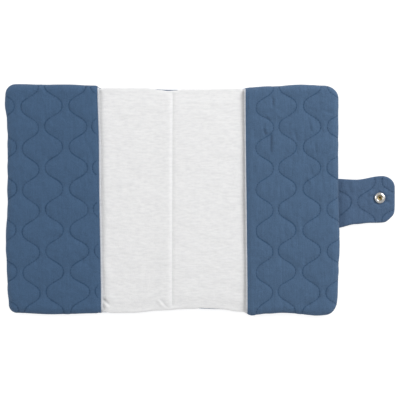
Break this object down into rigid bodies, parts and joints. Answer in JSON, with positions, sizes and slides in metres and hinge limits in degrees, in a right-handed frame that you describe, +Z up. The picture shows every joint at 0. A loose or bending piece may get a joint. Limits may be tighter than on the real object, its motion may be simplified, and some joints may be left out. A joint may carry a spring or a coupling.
{
  "type": "changing pad",
  "caption": "Fold-up quilted travel changing pad with a jersey lining, a deep pocket inside each cover and a tab that wraps round and closes with a metal snap.",
  "frame": {"origin": "middle of the spine on the surface the open pad lies on", "axes": "+X across the open pad towards the closing tab, +Y along the spine, +Z up out of the lining"},
  "size_m": [0.4394, 0.261, 0.0144],
  "materials": {
    "quilted_cotton": "matt woven slub cotton, quilted with wavy stitch lines",
    "jersey": "matt melange knit with fine pale grey flecks",
    "wadding": "soft polyester wadding",
    "waterproof_film": "thin soft film",
    "nickel": "polished nickel plate",
    "brass": "plain brass"
  },
  "bodies": {
    "right_cover": {"right_outer_cover": "quilted_cotton", "right_wadding": "wadding", "right_waterproof_film": "waterproof_film", "right_lining": "jersey", "right_pocket_lining": "jersey", "right_pocket_wadding": "wadding", "right_pocket_panel": "quilted_cotton"},
    "spine": {"spine_cover": "quilted_cotton", "spine_seam_allowance": "jersey", "spine_lining": "jersey"},
    "left_cover": {"left_outer_cover": "quilted_cotton", "left_wadding": "wadding", "left_waterproof_film": "waterproof_film", "left_lining": "jersey", "left_pocket_lining": "jersey", "left_pocket_wadding": "wadding", "left_pocket_panel": "quilted_cotton", "snap_stud": "nickel", "snap_stud_backing": "brass"},
    "tab_root": {"tab_root_front": "quilted_cotton", "tab_root_wadding": "wadding", "tab_root_back": "quilted_cotton"},
    "tab_tip": {"tab_tip_front": "quilted_cotton", "tab_tip_wadding": "wadding", "tab_tip_back": "quilted_cotton", "snap_socket": "nickel", "snap_spring": "brass", "snap_cap": "nickel"}
  },
  "joints": [
    {"name": "spine_fold", "type": "hinge", "parent": "right_cover", "child": "spine", "pos_m": [0.0086, 0, 0.0061], "axis": [0, 1, 0], "range_deg": [0, 90]},
    {"name": "cover_fold", "type": "hinge", "parent": "spine", "child": "left_cover", "pos_m": [-0.0086, 0, 0.0061], "axis": [0, 1, 0], "range_deg": [0, 90]},
    {"name": "tab_root_fold", "type": "hinge", "parent": "right_cover", "child": "tab_root", "pos_m": [0.1886, 0, 0.0057], "axis": [0, -1, 0], "range_deg": [0, 90]},
    {"name": "tab_tip_fold", "type": "hinge", "parent": "tab_root", "child": "tab_tip", "pos_m": [0.2129, 0, 0.0057], "axis": [0, -1, 0], "range_deg": [0, 90]}
  ],
  "couplings": [
    {"joint": "cover_fold", "follows": "spine_fold", "ratio": 1}
  ]
}
